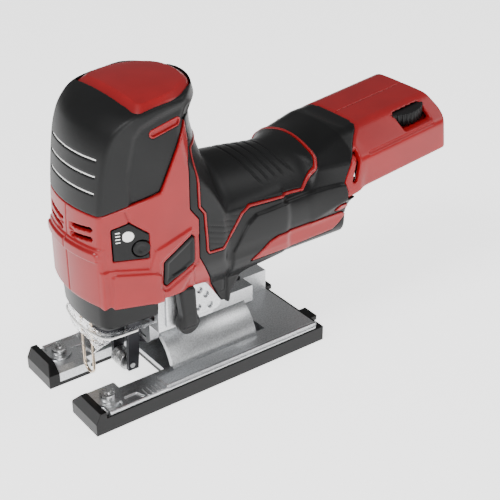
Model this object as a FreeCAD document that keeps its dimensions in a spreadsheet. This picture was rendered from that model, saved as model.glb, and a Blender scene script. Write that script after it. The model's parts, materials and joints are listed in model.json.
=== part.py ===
import FreeCAD, Part
import os
import re
import Sketcher
from FreeCAD import Placement, Rotation, Vector

# Cordless barrel-grip jigsaw, in millimetres.
# +X points to the battery end, -X to the blade end, +Y to the tool's right side and +Z up.
# The origin is the centre of the sole's underside, and the blade moves along Z.

doc = FreeCAD.newDocument("jigsaw")
sheet = doc.addObject("Spreadsheet::Sheet", "Dims")

SIZES = {
    # clearances shared by mating pieces
    "running": 0.05,            # radial play of a shaft in its bore
    "gap": 0.4,                 # between pieces that move past each other
    "seam": 0.1,                # between fixed pieces that are fitted together
    # base
    "base_length": 152, "base_width": 78, "plate_top": 10.5, "shoe_floor": 2.4, "shoe_wall": 2.6,
    "shoe_rim": 9.2, "shoe_nose": 6.4, "blade_slot": 25.2, "slot_bevel": 2.6,
    "mouth_width": 36, "mouth_front": 5,
    "mouth_back": 26, "mouth_lip": 8, "channel_floor": 5, "front_screw_x": 14, "front_screw_y": 26.7,
    "boss_radius": 7, "boss_height": 1, "screw_head": 4.25, "screw_head_high": 3.5, "screw_shank": 2.5,
    "screw_hex": 2, "tab_length": 4.5, "tab_width": 11, "tab_spacing": 44,
    # bevel arch, dust channel and foot
    "bevel_height": 5, "arch_radius": 25.2, "arch_wall": 3.5, "arch_front": -19, "arch_length": 57,
    "foot_half": 12, "foot_overhang": 6.5, "clamp_bar_half": 8, "clamp_bar_high": 4,
    "tunnel_front": 46, "tunnel_low": 13, "tunnel_width": 20, "tunnel_top": 24, "tunnel_wall": 2.5,
    # cast gear housing
    "cast_bottom": 37.2, "cast_top": 66, "cast_half": 24, "cast_wall": 4, "cast_front": -27,
    "ear_half": 19.4,
    # head
    "head_front": -64, "head_flat": 10, "corner_x": -59.5, "corner_y": 25, "side_x": -32, "head_half": 34,
    "rear_x": 2, "head_back": 18, "back_y": 24, "nape_x": 9, "nape_z": 148, "palm_x": -57.5, "palm_z": 154,
    "temple_x": -50, "temple_z": 163.5, "head_top": 174, "neck_front": -63.5, "neck_corner_x": -58.5,
    "head_floor": 66, "grip_skin": 2.2, "shell_wall": 2.6, "neck_low": 47, "grip_front": 117,
    "grip_back": 157,
    "insert_front": -38, "insert_back": 6, "insert_half": 26, "collar_half": 25, "collar_low": 46,
    "collar_wall": 3, "guard_wall": 2, "guard_half": 21.2, "guard_low": 25, "guard_lap": 4.5,
    # barrel and battery housing
    "barrel_radius": 32, "barrel_height": 86.5, "barrel_front": 18, "barrel_back": 76.5,
    "bay_x": 95.2, "bay_z": 89.4, "bay_tilt": 7, "bay_length": 77, "bay_half": 37,
    "bay_side": 18, "tail_front": 15, "tail_drop": 25, "bay_top": 30, "bay_crest": 20, "bay_wall": 3,
    "bay_deck": 16, "rail_depth": 3.5, "rail_high": 3, "rail_lift": 2,
    # drive
    "tooth_module": 0.9, "pinion_teeth": 8, "gear_teeth": 38, "gear_x": -30, "gear_width": 9,
    "gear_shaft": 4, "crank_throw": 11, "crank_pin": 3, "crank_roller": 4.6, "rotor_shaft": 3,
    "rotor_radius": 13, "stator_length": 26, "motor_x": 34, "air_gap": 0.6, "bearing_radius": 9.5,
    "bearing_width": 7, "fan_radius": 23, "fan_width": 9,
    "plunger_x": -45, "plunger_radius": 5, "plunger_stroke": 22, "clamp_low": 33, "clamp_high": 17,
    "clamp_radius": 5.6, "collar_radius": 7.6, "yoke_width": 35, "yoke_high": 15, "yoke_thick": 5,
    "weight_travel": 8, "weight_thick": 4, "weight_half": 20, "bush_wall": 3, "bush_length": 6,
    "seal_high": 2.5, "arm_half": 9,
    # blade guide and pendulum
    "fork_x": -33, "fork_pivot": 56, "fork_pin": 2, "fork_half": 9.3, "fork_wall": 2.6, "roller_half": 5,
    "roller_x": -36, "roller_z": 12, "roller_radius": 5.2, "lever_x": -11.5, "lever_z": 40.8,
    "lever_hub": 6, "lever_reach": 22.5, "lever_inner": 27.5, "lever_thick": 4, "lever_shaft": 3,
    "wire_radius": 0.8, "wire_half": 5.2, "wire_x": -57.3, "wire_low": 12, "wire_top": 54,
    # controls
    "button_travel": 2, "light_travel": 0.8, "button_half": 33.2, "button_x": -19, "button_z": 84,
    "button_long": 17, "button_high": 19, "light_x": -44.2, "light_z": 101.5, "panel_wide": 17.6,
    "panel_high": 20, "panel_skin": 1.5, "light_radius": 4, "light_face": 31.2, "light_button_long": 6.5,
    "lamp_x": -57.2, "lamp_y": -8, "lamp_radius": 1.5, "dial_radius": 16, "dial_width": 7, "dial_u": 55,
    "dial_y": -14, "dial_w": 20.5, "dial_shaft": 3,
}

# Sizes that follow from the ones above.
FORMULAS = {
    "base_front": "-base_length/2", "base_back": "base_length/2", "base_half": "base_width/2",
    "arch_back": "arch_front + arch_length", "foot_radius": "arch_radius + gap",
    "arch_inner": "arch_radius - arch_wall", "core_radius": "barrel_radius - grip_skin",
    "motor_room": "core_radius - shell_wall",
    "stator_radius": "motor_room - seam", "pinion_pitch": "tooth_module*pinion_teeth/2",
    "gear_pitch": "tooth_module*gear_teeth/2", "gear_z": "barrel_height + pinion_pitch + gear_pitch + 0.1",
    "gear_back": "gear_x + gear_width", "plate_front": "gear_back + weight_thick + 3*gap",
    "plate_back": "plate_front + 7", "yoke_back": "plunger_x + yoke_thick",
    "slot_screw_x": "base_front + front_screw_x", "yoke_low": "gear_z - yoke_high/2",
    "slot_half": "blade_slot/2", "mouth_low_x": "plunger_x - mouth_front",
    "mouth_high_x": "plunger_x + mouth_back", "rod_low": "clamp_low + clamp_high",
    "rod_bush_low": "cast_top + gap",
    "rod_bush_high": "gear_z + yoke_high/2 + plunger_stroke/2 + 2*gap", "crank_slot": "crank_roller + gap",
    "rod_top": "rod_bush_high + bush_length + plunger_stroke/2",
    "motor_back": "motor_x + stator_length", "rear_bearing": "motor_back + 12",
    "fan_x": "motor_x - fan_width - 7",
    "fork_low": "roller_z - 3.4", "screw_top": "plate_top + boss_height + screw_head_high",
    "side_rise": "bevel_height + sqrt(2)*(plate_top - bevel_height + gap)",
    "front_rise": "bevel_height + sqrt(2)*(screw_top - bevel_height + gap)",
}

pieces = {}
heads = {}


def fill_sheet():
    """One row of the sheet for each driving size, named by its alias."""
    for row, (name, value) in enumerate(SIZES.items(), start=1):
        sheet.set(f"A{row}", name)
        sheet.set(f"B{row}", str(value))
        sheet.setAlias(f"B{row}", name)
    doc.recompute()


def dim(text):
    """A formula with each name replaced by its cell, or by the formula that it stands for."""
    def swap(match):
        name = match.group()
        if name in FORMULAS:
            return "(" + dim(FORMULAS[name]) + ")"
        return "Dims." + name if name in SIZES else name
    return re.sub(r"[a-z][a-z_]*", swap, str(text))


def size(text):
    """The present value of a formula."""
    return float(sheet.evalExpression(dim(text)))


def bind(obj, **formulas):
    """Drive properties of an object from the sheet."""
    for name, text in formulas.items():
        obj.setExpression(name, dim(text))
    return obj


def place(obj, x=0, y=0, z=0, rotation=None):
    """Put an object at a bound position."""
    obj.Placement = Placement(Vector(), rotation or Rotation())
    for axis, text in zip("xyz", (x, y, z)):
        obj.setExpression(f"Placement.Base.{axis}", dim(text))
    return obj


def block(x, y, z):
    """A box between pairs of bound limits."""
    box = doc.addObject("Part::Box", "Block")
    bind(box, Length=f"({x[1]}) - ({x[0]})", Width=f"({y[1]}) - ({y[0]})", Height=f"({z[1]}) - ({z[0]})")
    return place(box, x[0], y[0], z[0])


AXES = {"X": Rotation(Vector(0, 1, 0), 90), "Y": Rotation(Vector(1, 0, 0), -90), "Z": Rotation()}


def rod(axis, limits, centre, radius):
    """A cylinder along an axis, between bound limits and about a bound centre."""
    cylinder = bind(doc.addObject("Part::Cylinder", "Rod"), Radius=radius,
                    Height=f"({limits[1]}) - ({limits[0]})")
    base = {"X": (limits[0], *centre), "Y": (centre[0], limits[0], centre[1]), "Z": (*centre, limits[0])}
    return place(cylinder, *base[axis], AXES[axis])


def cut(base, *tools):
    """A shape without its tools."""
    result = doc.addObject("Part::Cut", "Cut")
    result.Base = base
    result.Tool = tools[0] if len(tools) == 1 else fuse(*tools)
    return result


def fuse(*shapes):
    """Shapes joined into one solid."""
    result = doc.addObject("Part::MultiFuse", "Fuse")
    result.Shapes = list(shapes)
    result.Refine = True
    return result


def common(first, *others):
    """What all the shapes share, taken two at a time."""
    result = first
    for other in others:
        pair = doc.addObject("Part::Common", "Common")
        pair.Base, pair.Tool = result, other
        result = pair
    return result


def group(*shapes):
    """Separate solids that share a node."""
    result = doc.addObject("Part::Compound", "Group")
    result.Links = list(shapes)
    return result


def ring(axis, limits, centre, inner, outer):
    """A tube along an axis."""
    return cut(rod(axis, limits, centre, outer), rod(axis, limits, centre, inner))


def origin_plane(body, role):
    """One of a body's own planes or axes."""
    return next(plane for plane in body.Origin.OriginFeatures if plane.Role == role)


def sketch(body, role, outline, offset):
    """A closed outline of corners on an origin plane, each corner bound to the sheet."""
    drawing = body.newObject("Sketcher::SketchObject", "Outline")
    drawing.AttachmentSupport = [(origin_plane(body, role), "")]
    drawing.MapMode = "FlatFace"
    drawing.setExpression("AttachmentOffset.Base.z", dim(offset))
    corners = [(size(x), size(y)) for x, y in outline]
    count = len(corners)
    for index in range(count):
        start, end = corners[index], corners[(index + 1) % count]
        drawing.addGeometry(Part.LineSegment(Vector(*start, 0), Vector(*end, 0)))
    for index in range(count):
        drawing.addConstraint(Sketcher.Constraint("Coincident", index, 2, (index + 1) % count, 1))
    for index, corner in enumerate(outline):
        for kind, text, value in zip(("DistanceX", "DistanceY"), corner, corners[index]):
            number = drawing.addConstraint(Sketcher.Constraint(kind, -1, 1, index, 1, value))
            drawing.setExpression(f"Constraints[{number}]", dim(text))
    return drawing


def prism(role, outline, limits):
    """An outline on the XY, YZ or XZ plane, padded between bound limits on the third axis."""
    body = doc.addObject("PartDesign::Body", "Profile")
    low, high = limits
    offset = f"-({high})" if role == "XZ_Plane" else low
    drawing = sketch(body, role, outline, offset)
    pad = body.newObject("PartDesign::Pad", "Pad")
    pad.Profile = drawing
    bind(pad, Length=f"({high}) - ({low})")
    body.Tip = pad
    return body


def mirrored(outline, first=False):
    """An outline symmetric in Y, from its half on the +Y side; Y is its first or its second value."""
    if first:
        return list(outline) + [(f"-({y})", z) for y, z in reversed(outline)]
    return list(outline) + [(x, f"-({y})") for x, y in reversed(outline)]


def tilted(shape):
    """A shape of the battery housing, stood on the housing's raised and tilted base."""
    holder = group(shape)
    place(holder, "bay_x", 0, "bay_z", Rotation(Vector(0, -1, 0), SIZES["bay_tilt"]))
    holder.setExpression("Placement.Rotation.Angle", dim("bay_tilt") + " * 1deg")
    return holder


def piece(label, obj):
    """Name an object as one of the tool's sub-parts."""
    obj.Label = label
    pieces[label] = obj
    return obj


# ---------------------------------------------------------------- outer shapes

def head_solid(skin):
    """The head inside a skin, made once for each skin."""
    if skin not in heads:
        heads[skin] = make_head(skin)
    return heads[skin]


def make_head(skin):
    """What the head's plan, side view and front view share; a neck runs down behind the gears."""
    plan = prism("XY_Plane", mirrored([
        (f"head_front + {skin}", "head_flat"), (f"corner_x + {skin}", f"corner_y - {skin}"),
        ("side_x", f"head_half - {skin}"), ("rear_x", f"head_half - {skin}"),
        (f"head_back - {skin}", f"back_y - {skin}"),
    ]), ("neck_low - 1", "head_top + 1"))
    side = prism("XZ_Plane", [
        (f"head_front + {skin}", f"head_floor + {skin}"), (f"-4 + {skin}", f"head_floor + {skin}"),
        (f"9 + {skin}", f"neck_low + {skin}"), (f"head_back - 1 - {skin}", f"neck_low + {skin}"),
        ("head_back + 1", "neck_low + 14"), ("head_back + 1", "nape_z - 25"),
        (f"nape_x - {skin}", "nape_z"), (f"nape_x - {skin}", f"head_top - 12 - {skin}/2"),
        (f"nape_x - 7 - {skin}", f"head_top - 3 - {skin}"), ("side_x + 15", f"head_top - {skin}"),
        (f"insert_front + {skin}", f"head_top - 4 - {skin}"), (f"temple_x + {skin}", f"temple_z - {skin}/2"),
        (f"palm_x + {skin}", "palm_z"), (f"head_front + {skin}", "grip_front"),
    ], ("-head_half - 1", "head_half + 1"))
    front = prism("YZ_Plane", mirrored([
        (f"head_half - {skin}", "neck_low - 1"), (f"head_half - {skin}", f"palm_z - {skin}/2"),
        (f"insert_half + 3 - {skin}", f"head_top - 6 - {skin}"),
        (f"insert_half - 8 - {skin}/2", f"head_top - {skin}"),
    ], first=True), ("head_front - 1", "head_back + 2"))
    return common(plan, side, front)


def tail_solid():
    """Flare from the barrel to the battery housing, and the housing's bevelled block."""
    section = prism("YZ_Plane", mirrored([
        ("bay_half", "-tail_drop"), ("bay_half", "bay_side"), ("bay_crest", "bay_top"),
    ], first=True), ("-tail_front", "bay_length"))
    side = prism("XZ_Plane", [
        ("-tail_front", "-tail_drop"), ("0", "0"), ("bay_length", "0"), ("bay_length", "bay_top"),
        ("0", "bay_top"), ("-tail_front", "bay_top - 4"),
    ], ("-bay_half - 1", "bay_half + 1"))
    plan = prism("XY_Plane", mirrored([("-tail_front", "bay_half - 5"), ("0", "bay_half"),
                                       ("bay_length", "bay_half")]),
                 ("-tail_drop - 1", "bay_top + 1"))
    return common(section, side, plan)


def grip_region():
    """Side view of the rubber over the top of the head."""
    return prism("XZ_Plane", [
        ("head_front - 5", "grip_front"), ("corner_x", "grip_front"), ("-27.6", "grip_front + 8"),
        ("-10", "grip_back"), ("rear_x - 8", "grip_back + 9"), ("insert_back + 4", "grip_back + 9"),
        ("insert_back + 4", "head_top + 5"), ("head_front - 5", "head_top + 5"),
    ], ("-head_half - 5", "head_half + 5"))


def insert_prism(spare):
    """D-shaped plan of the top insert, with its straight edge in front."""
    return prism("XY_Plane", mirrored([
        (f"insert_front - {spare}", f"insert_half - 2 + {spare}"),
        ("insert_front + 4", f"insert_half + {spare}"), ("insert_back - 20", f"insert_half - 1 + {spare}"),
        ("insert_back - 6", f"insert_half - 9 + {spare}"),
        (f"insert_back + {spare}", f"insert_half/3 + {spare}"),
    ]), ("grip_back", "head_top + 5"))


# ---------------------------------------------------------------- housing

def build_housing():
    """Two red shells split on the middle plane: head, barrel core and battery housing."""
    red_head = fuse(cut(head_solid("0"), grip_region()), head_solid("grip_skin"))
    barrel = rod("X", ("0", "barrel_back + 17"), ("0", "barrel_height"), "core_radius")
    outer = fuse(red_head, barrel, tilted(tail_solid()))
    motor_room = rod("X", ("0", "barrel_back + 6"), ("0", "barrel_height"), "motor_room")
    head_room = head_solid("(grip_skin + shell_wall)")
    wire_room = tilted(block(("-30", "9"), ("-20", "20"), ("bay_deck + 2", "bay_top - bay_wall")))
    deck_room = tilted(block(("bay_wall", "bay_length - bay_wall"), ("-bay_crest + 1", "bay_crest - 1"),
                             ("bay_deck + 2.5", "bay_top - bay_wall")))
    bay = tilted(block(("bay_wall + 3", "bay_length + 5"), ("-bay_half + bay_wall", "bay_half - bay_wall"),
                       ("-5", "bay_deck")))
    dial_slot = tilted(block(("dial_u - dial_radius + 2", "dial_u + dial_radius - 2"),
                             ("-bay_half - 5", "dial_y"), ("dial_w - 1", "dial_w + dial_width + 1")))
    dial_room = tilted(rod("Z", ("dial_w - 1", "dial_w + dial_width + 1"), ("dial_u", "dial_y"),
                           "dial_radius + 1"))
    floor_hole = block(("plunger_x - 10.5", "cast_front + 42"), ("-cast_half - seam", "cast_half + seam"),
                       ("neck_low - 5", "head_floor + 8"))
    lamp_hole = rod("Z", ("head_floor - 5", "head_floor + 12"), ("lamp_x", "lamp_y"), "lamp_radius + seam")
    hollow = [motor_room, head_room, wire_room, deck_room, bay, dial_slot, dial_room, floor_hole, lamp_hole]
    hollow += [button_hole(side) for side in (-1, 1)]
    hollow.append(cut(panel_block("seam"), head_solid("panel_skin")))
    hollow.append(light_hole("gap"))
    whole = cut(outer, *hollow)
    for label, y in (("housing_left", ("-60", "0")), ("housing_right", ("0", "60"))):
        piece(label, common(whole, block(("-100", "base_length + 60"), y, ("0", "head_top + 20"))))


def build_head_trim():
    """Rubber over the head, and the insert let into its top."""
    shell = cut(common(head_solid("0"), grip_region()), head_solid("grip_skin"))
    piece("head_grip", cut(shell, insert_prism("seam")))
    skin = cut(head_solid("0"), head_solid("grip_skin"))
    piece("top_insert", common(skin, insert_prism("0"), grip_region()))


def build_barrel_trim():
    """Rubber pad over the barrel, black lower cover and the red strip along its bottom."""
    sleeve = ring("X", ("barrel_front + seam", "barrel_back"), ("0", "barrel_height"),
                  "core_radius", "barrel_radius")
    wide = ("-barrel_radius - 5", "barrel_radius + 5")
    pad_side = prism("XZ_Plane", [
        ("barrel_front", "barrel_height + 4"), ("barrel_front + 8", "barrel_height + 11"),
        ("barrel_back - 2", "barrel_height + 11"), ("barrel_back - 2", "barrel_height + 40"),
        ("barrel_front", "barrel_height + 40")], wide)
    piece("barrel_grip", common(sleeve, pad_side))
    strip_side = prism("XZ_Plane", [
        ("barrel_front + 17", "barrel_height - 23"), ("barrel_back", "barrel_height - 15"),
        ("barrel_back", "barrel_height - 22"), ("barrel_front + 23", "barrel_height - 29")], wide)
    piece("belly_strip", common(sleeve, strip_side))
    piece("barrel_cover", cut(sleeve, pad_side, strip_side))


def build_battery_bay():
    """Black rail frame under the battery deck, the terminal block and its blades."""
    inner = "(bay_half - bay_wall - seam)"
    floor = block(("bay_wall + 3 + seam", "bay_length - 2"), (f"-{inner}", inner),
                  ("bay_deck - 2", "bay_deck - seam"))
    sides = []
    for sign in ("-", ""):
        edge = sorted((f"{sign}({inner})", f"{sign}({inner} - rail_depth)"), key=size)
        wall = sorted((f"{sign}({inner})", f"{sign}({inner} - 1.2)"), key=size)
        sides.append(block(("bay_wall + 3 + seam", "bay_length - 4"), edge,
                           ("rail_lift", "rail_lift + rail_high")))
        sides.append(block(("bay_wall + 3 + seam", "bay_length - 4"), wall, ("rail_lift", "bay_deck - 1")))
    latch = block(("bay_length - 16", "bay_length - 8"), ("-14", "14"), ("bay_deck - 4", "bay_deck - 1"))
    piece("battery_rails", tilted(fuse(floor, *sides, latch)))
    body = block(("bay_wall + 3 + 2*seam", "bay_wall + 14"), ("-20", "20"), ("3", "bay_deck - 2 - seam"))
    slots = [block(("bay_wall + 9", "bay_wall + 15"), (f"{y} - 2", f"{y} + 2"), ("2", "bay_deck - 6"))
             for y in (-15, -5, 5, 15)]
    piece("terminal_block", tilted(cut(body, *slots)))
    blades = [block(("bay_wall + 9", "bay_wall + 22"), (f"{y} - 0.4", f"{y} + 0.4"), ("4", "bay_deck - 7"))
              for y in (-15, -5, 5, 15)]
    piece("terminal_blades", tilted(group(*blades)))
    board = block(("bay_wall + 4", "bay_length - 30"), ("-bay_crest + 3", "bay_crest - 3"),
                  ("bay_deck + 2.5", "bay_deck + 4.1"))
    parts = [block((f"{u}", f"{u} + 7"), (f"{y} - 3", f"{y} + 3"), ("bay_deck + 4.1", "bay_deck + 7"))
             for u in (12, 22, 32) for y in (4, 12)]
    piece("control_board", tilted(fuse(board, *parts)))


def build_dial():
    """Speed wheel that stands a little out of its slot, on a potentiometer."""
    wheel = rod("Z", ("dial_w", "dial_w + dial_width"), ("dial_u", "dial_y"), "dial_radius")
    notches = [dial_notch(index) for index in range(36)]
    bore = rod("Z", ("dial_w - 1", "dial_w + dial_width + 1"), ("dial_u", "dial_y"), "dial_shaft + running")
    piece("speed_dial", tilted(cut(wheel, bore, *notches)))
    can = block(("dial_u - 6", "dial_u + 6"), ("dial_y - 5", "dial_y + 6"), ("dial_w - 1.9", "dial_w - gap"))
    spindle = rod("Z", ("dial_w - gap", "dial_w + dial_width"), ("dial_u", "dial_y"), "dial_shaft")
    piece("dial_potentiometer", tilted(fuse(can, spindle)))


def dial_notch(index):
    """One of the grooves round the wheel's rim."""
    angle = f"{index * 10}deg"
    return rod("Z", ("dial_w - 1", "dial_w + dial_width + 1"),
               (f"dial_u + (dial_radius + 0.3)*cos({angle})", f"dial_y + (dial_radius + 0.3)*sin({angle})"),
               "0.9")


# ---------------------------------------------------------------- controls

def button_block(side, grow, depth):
    """Leaning pad on one side of the head: its outline in side view, between two depths."""
    lean = [("-button_long/2", "-button_high/2 - 3"), ("button_long/2", "-button_high/2 + 3"),
            ("button_long/2", "button_high/2 + 3"), ("-button_long/2", "button_high/2 - 3")]
    signs = [(-1, -1), (1, -1), (1, 1), (-1, 1)]
    outline = [(f"button_x + {x} + {sx}*{grow}", f"button_z + {z} + {sz}*{grow}")
               for (x, z), (sx, sz) in zip(lean, signs)]
    limits = [f"{side}*({edge})" for edge in depth]
    return prism("XZ_Plane", outline, sorted(limits, key=size))


def button_hole(side):
    """Opening in the head's side for a power pad."""
    return button_block(side, "1.5*gap", ("barrel_radius - 8", "barrel_radius + 8"))


def panel_outline(grow):
    """Five-sided outline of the lamp panel in side view."""
    return [
        (f"light_x - panel_wide/2 - {grow}", f"light_z - panel_high/2 - {grow}"),
        (f"light_x + panel_wide/2 + {grow}", f"light_z - panel_high/2 - 2 - {grow}"),
        (f"light_x + panel_wide/2 + {grow}", f"light_z + panel_high/2 - 6 + {grow}"),
        ("light_x", f"light_z + panel_high/2 + {grow}"),
        (f"light_x - panel_wide/2 - {grow}", f"light_z + panel_high/2 - 1 + {grow}"),
    ]


def panel_block(grow):
    """The lamp panel's outline, deeper than the head's side wall."""
    return prism("XZ_Plane", panel_outline(grow), ("-head_half", "-corner_y + 10"))


def light_hole(grow):
    """Bore for the lamp button."""
    return rod("Y", ("-head_half - 1", "-light_face + 12"), ("light_x + 5", "light_z - 5"),
               f"light_radius + {grow}")


def build_controls():
    """Power pads on both sides, the lamp's panel and button, and the boards behind them."""
    for label, side in (("power_button_left", -1), ("power_button_right", 1)):
        pad = button_block(side, "0", ("button_half - 3.5", "button_half + 0.6"))
        flange = button_block(side, "0", ("button_half - 5", "button_half - 3.5"))
        piece(label, fuse(pad, flange))
    boards = []
    for side in (-1, 1):
        face = "button_half - 5 - button_travel - gap"
        edges = sorted((f"{side}*({face} - 0.5)", f"{side}*({face} - 1.8)"), key=size)
        boards.append(block(("button_x - 8", "button_x + 9"), edges,
                            ("head_floor + grip_skin + shell_wall + seam", "button_z + 3")))
        key = sorted((f"{side}*({face})", f"{side}*({face} - 0.5)"), key=size)
        boards.append(rod("Y", key, ("button_x", "button_z - 2"), "2.5"))
    piece("switch_boards", group(fuse(*boards[:2]), fuse(*boards[2:])))
    skin = cut(common(panel_block("0"), head_solid("0")), head_solid("panel_skin"))
    piece("light_panel", cut(skin, light_hole("gap")))
    inner = "-light_face - 0.4 + light_button_long"
    piece("light_button", rod("Y", ("-light_face - 0.4", inner), ("light_x + 5", "light_z - 5"),
                              "light_radius"))
    piece("light_switch", block(("light_x - 1", "light_x + 10"),
                                (f"{inner} + light_travel + gap", f"{inner} + light_travel + gap + 1.7"),
                                ("light_z - 11", "light_z + 1")))
    piece("work_lamp", rod("Z", ("head_floor + 2.5", "head_floor + 9"), ("lamp_x", "lamp_y"), "lamp_radius"))
    piece("lamp_lens", rod("Z", ("head_floor", "head_floor + 2.5"), ("lamp_x", "lamp_y"), "lamp_radius"))


# ---------------------------------------------------------------- gear frame and foot

def build_gear_housing():
    """Aluminium casting under the head: side plates, fork ears and the foot that rides on the arch."""
    side = [("cast_front", "cast_bottom"), ("8", "cast_bottom"), ("12", "cast_bottom + 7"),
            ("1", "cast_top"), ("cast_front", "cast_top")]
    shell = prism("XZ_Plane", side, ("-cast_half", "cast_half"))
    room = block(("cast_front - 1", "1 - cast_wall"), ("-cast_half + cast_wall", "cast_half - cast_wall"),
                 ("cast_bottom + 5", "cast_top + 1"))
    neck = block(("arch_front - foot_overhang", "arch_back + foot_overhang"), ("-foot_half", "foot_half"),
                 ("bevel_height + 12", "cast_bottom + 1"))
    under = rod("X", ("arch_front - gap", "arch_back + gap"), ("0", "bevel_height"), "foot_radius")
    below = block(("arch_front - 20", "arch_back + 20"), ("-foot_half - 1", "foot_half + 1"),
                  ("0", "bevel_height + arch_inner - clamp_bar_high - gap"))
    rear = block(("12", "arch_back + foot_overhang"), ("-foot_half", "foot_half"),
                 ("bevel_height + foot_radius + 5", "cast_bottom + 5"))
    ears = []
    for s in (-1, 1):
        for front, reach in (("fork_x - 3.5", "ear_half"), ("cast_front", "cast_half - cast_wall + 0.5")):
            edges = tuple(sorted((f"{s}*(fork_half + gap)", f"{s}*({reach})"), key=size))
            ears.append(block((front, "cast_front + 6"), edges, ("fork_pivot - 5", "cast_top")))
    pin_hole = rod("Y", ("-ear_half", "ear_half"), ("fork_x", "fork_pivot"), "fork_pin")
    shaft_hole = rod("Y", ("-cast_half - 1", "cast_half + 1"), ("lever_x", "lever_z"),
                     "lever_shaft + running")
    boss = rod("Y", ("1 + cast_wall - cast_half", "-2"), ("lever_x", "lever_z"), "lever_shaft + 3")
    screw_holes = [rod("Z", ("0", "cast_bottom"), (x, "0"), "screw_shank")
                   for x in ("arch_front - foot_overhang/2", "arch_back + foot_overhang/2")]
    bar_room = block(("arch_front - 20", "arch_back + 20"),
                     ("-clamp_bar_half - seam", "clamp_bar_half + seam"),
                     ("0", "bevel_height + arch_inner - gap"))
    solid = fuse(cut(shell, room), neck, boss, *ears)
    wedges = [swept_wedge(side, "cast_bottom - 20", "foot_half + 1", "side_rise", ends) for side in (-1, 1)
              for ends in (("arch_front - 20", "arch_front - gap"), ("arch_back + gap", "arch_back + 20"))]
    tools = [under, below, rear, pin_hole, shaft_hole, bar_room, *screw_holes, *wedges]
    piece("gear_housing", cut(solid, *tools))
    piece("fork_pivot_pin", rod("Y", ("-ear_half", "ear_half"), ("fork_x", "fork_pivot"), "fork_pin"))


def build_gear_frame():
    """Bearing plate behind the gear, with arms that carry the plunger's two bushes."""
    plate = block(("plate_front", "plate_back"), ("-cast_half + seam", "cast_half - seam"),
                  ("cast_top", "rod_bush_high + bush_length"))
    arm = block(("plunger_x - 10", "plate_front"), ("-arm_half", "arm_half"),
                ("rod_bush_high", "rod_bush_high + bush_length"))
    low_arm = block(("plunger_x - 10", "plate_front"), ("-13", "13"),
                    ("rod_bush_low", "rod_bush_low + bush_length"))
    holes = [rod("Z", (low, f"{low} + bush_length"), ("plunger_x", "0"), "plunger_radius + bush_wall")
             for low in ("rod_bush_low", "rod_bush_high")]
    motor_hole = rod("X", ("plate_front - 1", "plate_back + 1"), ("0", "barrel_height"), "bearing_radius")
    shaft_hole = rod("X", ("plate_front - 1", "plate_back + 1"), ("0", "gear_z"), "gear_shaft")
    pinion_room = rod("X", ("gear_x - 2", "plate_front"), ("0", "barrel_height"), "pinion_pitch + 4")
    piece("gear_frame", cut(fuse(plate, arm, low_arm), *holes, motor_hole, shaft_hole, pinion_room))
    bushes = [ring("Z", (low, f"{low} + bush_length"), ("plunger_x", "0"), "plunger_radius + running",
                   "plunger_radius + bush_wall") for low in ("rod_bush_low", "rod_bush_high")]
    piece("plunger_bushes", group(*bushes))
    piece("plunger_seal", ring("Z", ("rod_bush_low - seal_high", "rod_bush_low"), ("plunger_x", "0"),
                               "plunger_radius + gap", "plunger_radius + bush_wall + 1"))
    piece("gear_shaft", rod("X", ("gear_x - 0.5", "plate_back"), ("0", "gear_z"), "gear_shaft"))


def build_foot_trim():
    """Black collar under the head, the clear chip guard in it and the wire in front of the blade."""
    piece("foot_collar", prism("XY_Plane", skirt_outline("0", "collar_wall", "collar_half"),
                               ("collar_low", "head_floor")))
    guard = prism("XY_Plane", skirt_outline("collar_wall + seam", "guard_wall", "guard_half"),
                  ("guard_low", "collar_low + guard_lap"))
    slopes = [swept_wedge(side, "guard_low - 1", "guard_half + 4", rise, ("-100", back)) for side in (-1, 1)
              for rise, back in (("front_rise", "slot_screw_x + boss_radius + gap"), ("side_rise", "0"))]
    piece("chip_guard", cut(guard, *slopes))
    legs = [rod("Z", ("wire_low + wire_half", "wire_top"), ("wire_x", f"{s}*wire_half"), "wire_radius")
            for s in (-1, 1)]
    bend = bind(doc.addObject("Part::Torus", "Bend"), Radius1="wire_half", Radius2="wire_radius")
    place(bend, "wire_x", 0, "wire_low + wire_half", Rotation(Vector(0, 1, 0), 90))
    half = common(bend, block(("wire_x - 5", "wire_x + 5"), ("-20", "20"),
                              ("wire_low - 5", "wire_low + wire_half")))
    piece("wire_guard", fuse(*legs, half))
    holder = block(("wire_x - 3", "wire_x + 2"), ("-wire_half - 3", "wire_half + 3"),
                   ("wire_top - 3", "head_floor"))
    sockets = [rod("Z", ("wire_top - 4", "wire_top"), ("wire_x", f"{s}*wire_half"), "wire_radius")
               for s in (-1, 1)]
    piece("wire_holder", cut(holder, *sockets))


def swept_wedge(side, low, half, rise, ends):
    """Room beside the foot for the base at its full bevel, under a plane that rises at 45 degrees."""
    outline = [(f"{side}*({low} - {rise})", low), (f"{side}*({half})", low),
               (f"{side}*({half})", f"{half} + {rise}")]
    return prism("YZ_Plane", outline[::side], ends)


def skirt_outline(inset, wall, half):
    """A wall of the given thickness round the front of the foot, open at the back."""
    def run(depth):
        return [("cast_front - gap", f"{half} - ({depth})"),
                (f"neck_corner_x + 1 + ({depth})", f"{half} - 0.5 - ({depth})"),
                (f"neck_front + ({depth})", f"head_flat - ({depth})/3")]
    outer, inner = run(inset), run(f"{inset} + {wall}")
    left_outer = [(x, f"-({y})") for x, y in outer]
    left_inner = [(x, f"-({y})") for x, y in inner]
    return outer + left_outer[::-1] + left_inner + inner[::-1]


# ---------------------------------------------------------------- base

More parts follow.
